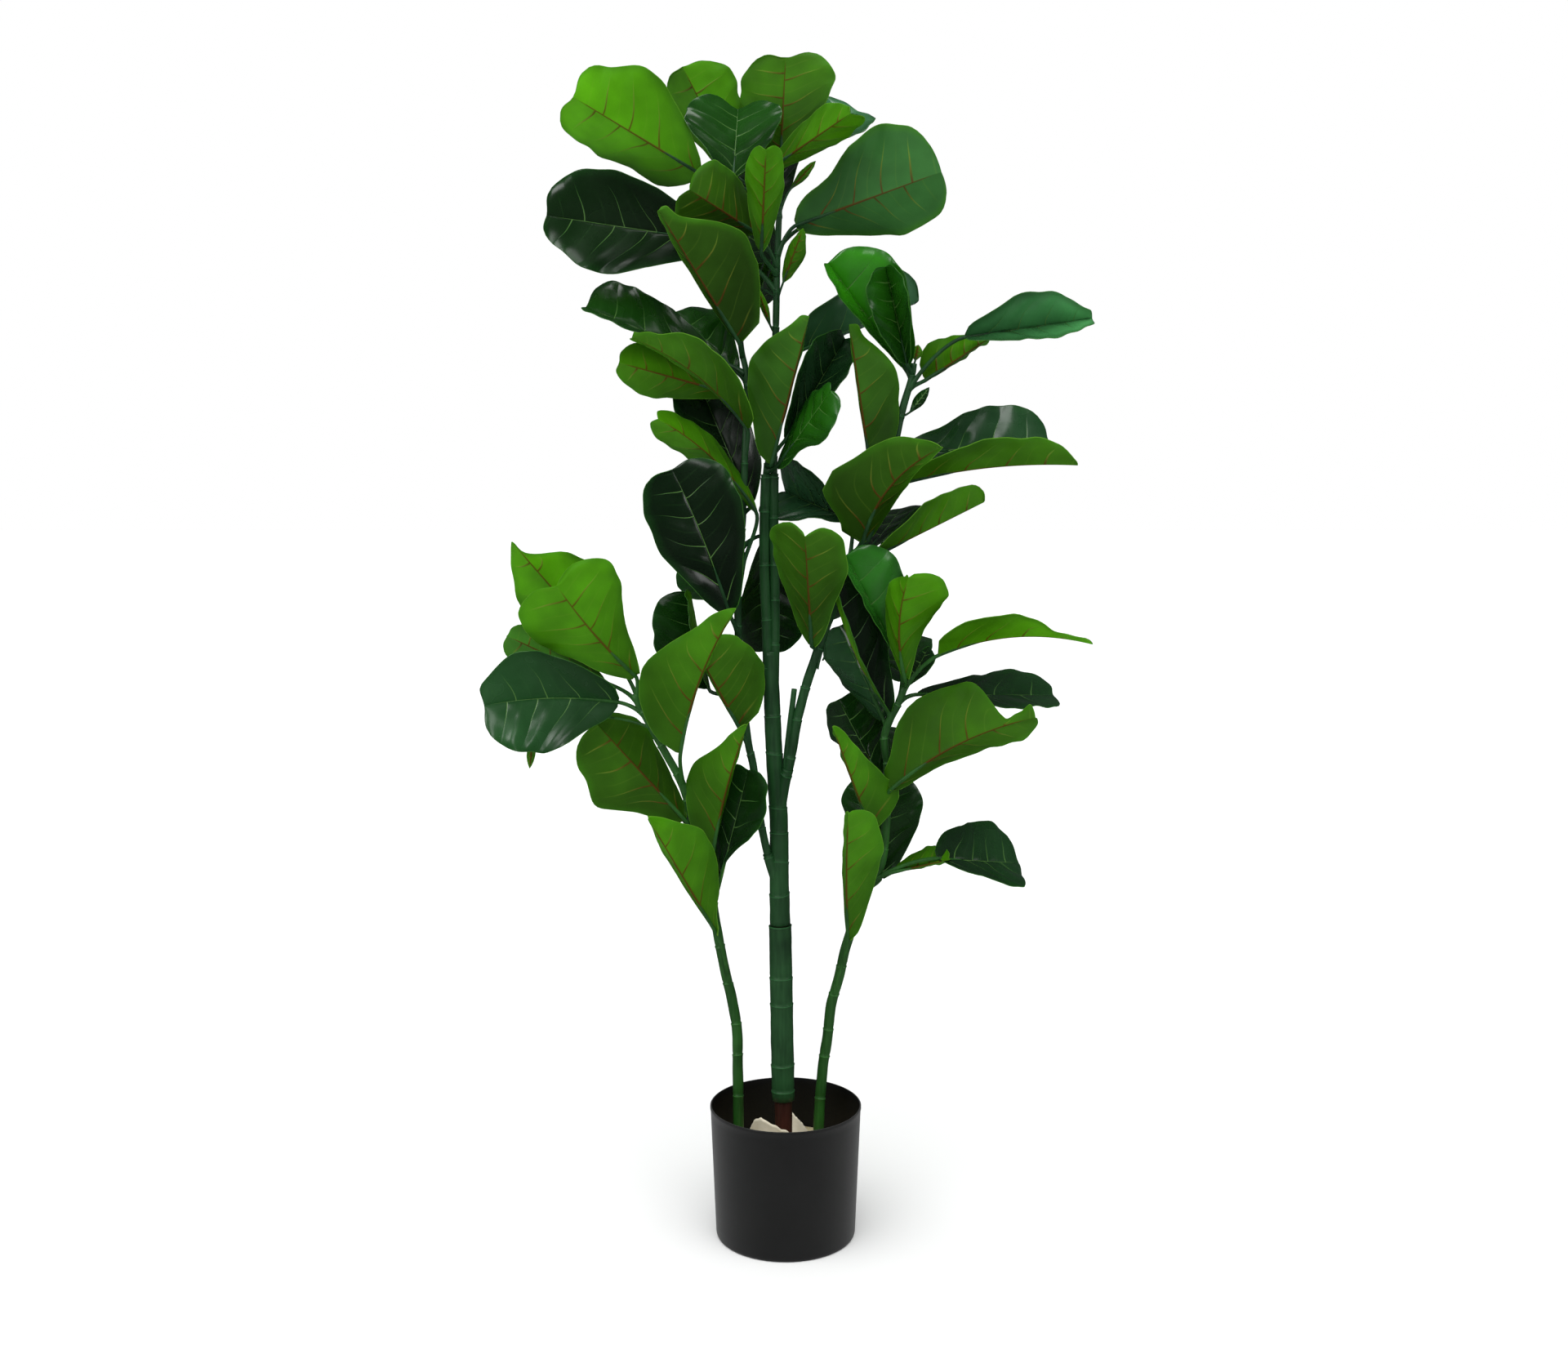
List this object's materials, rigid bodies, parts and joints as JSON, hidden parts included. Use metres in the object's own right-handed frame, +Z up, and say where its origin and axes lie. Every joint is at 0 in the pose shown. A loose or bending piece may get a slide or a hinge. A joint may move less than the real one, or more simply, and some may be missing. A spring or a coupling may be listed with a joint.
{
  "type": "potted artificial fiddle-leaf fig tree",
  "caption": "Potted artificial fiddle-leaf fig: a bare forked trunk with leafy branches and side stems in a weighted round nursery pot.",
  "frame": {"origin": "middle of the pot's underside, on the floor", "axes": "+Z up along the pot's axis, +X to the viewer's right, -Y towards the viewer"},
  "size_m": [0.7617, 0.2969, 1.5121],
  "materials": {
    "pot_plastic": "matt charcoal moulded plastic",
    "cast_weight": "rough cream cast filler",
    "cream_shell": "matt cream, torn edges",
    "brown_rod": "dull red-brown rod",
    "green_bark": "satin green moulded plastic",
    "leaf": "satin leaf green, glossy on the upper faces"
  },
  "bodies": {
    "root": {"pot": "pot_plastic", "filler": "cast_weight", "collar": "cream_shell", "flap": "cream_shell", "core_rod": "brown_rod", "trunk_sleeve": "green_bark", "trunk": "green_bark", "crown": "leaf", "centre_sprig": "leaf", "left_branch": "leaf", "right_branch": "leaf", "left_stem": "leaf", "right_stem": "leaf"}
  },
  "joints": []
}
